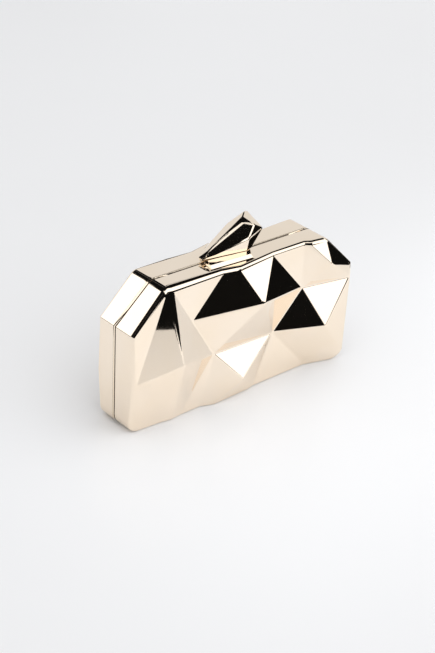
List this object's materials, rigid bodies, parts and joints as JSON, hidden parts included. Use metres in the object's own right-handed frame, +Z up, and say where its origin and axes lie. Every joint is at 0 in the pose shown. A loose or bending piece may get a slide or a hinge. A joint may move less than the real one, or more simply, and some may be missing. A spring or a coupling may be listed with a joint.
{
  "type": "minaudiere",
  "caption": "Hard metal evening clutch with a faceted relief, two shells hinged along the bottom seam and a sprung crystal-shard clasp on top.",
  "frame": {"origin": "centre of the closed case's footprint, on the surface that it stands on", "axes": "+X along the width, to the right as seen from the front; -Y out of the front relief; +Z up"},
  "size_m": [0.192, 0.061, 0.122],
  "materials": {
    "polished_gold": "mirror polish, pale champagne gold plating",
    "frame_gold": "polished pale gold plating",
    "screw_gold": "polished pale gold plating",
    "steel": "drawn spring and pin steel",
    "suede": "dark suede over a padded board"
  },
  "bodies": {
    "back": {"back_shell": "polished_gold", "back_frame": "frame_gold", "back_lining": "suede", "hinge_leaf_back": "frame_gold", "hinge_pin": "steel", "hinge_screws_back": "screw_gold", "clasp_bracket": "frame_gold", "clasp_bracket_screws": "screw_gold", "clasp_pin": "steel", "clasp_spring": "steel", "strap_lug_left": "frame_gold", "strap_lug_right": "frame_gold", "strap_lug_screws": "screw_gold"},
    "front": {"front_shell": "polished_gold", "front_frame": "frame_gold", "front_lining": "suede", "hinge_leaf_front": "frame_gold", "hinge_screws_front": "screw_gold", "clasp_striker": "polished_gold", "clasp_striker_screws": "screw_gold"},
    "clasp": {"clasp_lever": "frame_gold", "clasp_shard": "polished_gold", "clasp_shard_screws": "screw_gold"}
  },
  "joints": [
    {"name": "front_open", "type": "hinge", "parent": "back", "child": "front", "pos_m": [0, -0.001, 0.0019], "axis": [1, 0, 0], "range_deg": [0, 105]},
    {"name": "clasp_lift", "type": "hinge", "parent": "back", "child": "clasp", "pos_m": [0, 0.0065, 0.1014], "axis": [-1, 0, 0], "range_deg": [0, 18], "stiffness_Nm_per_rad": 0.1, "springref_deg": -17.19, "deforming": ["clasp_spring"]}
  ]
}
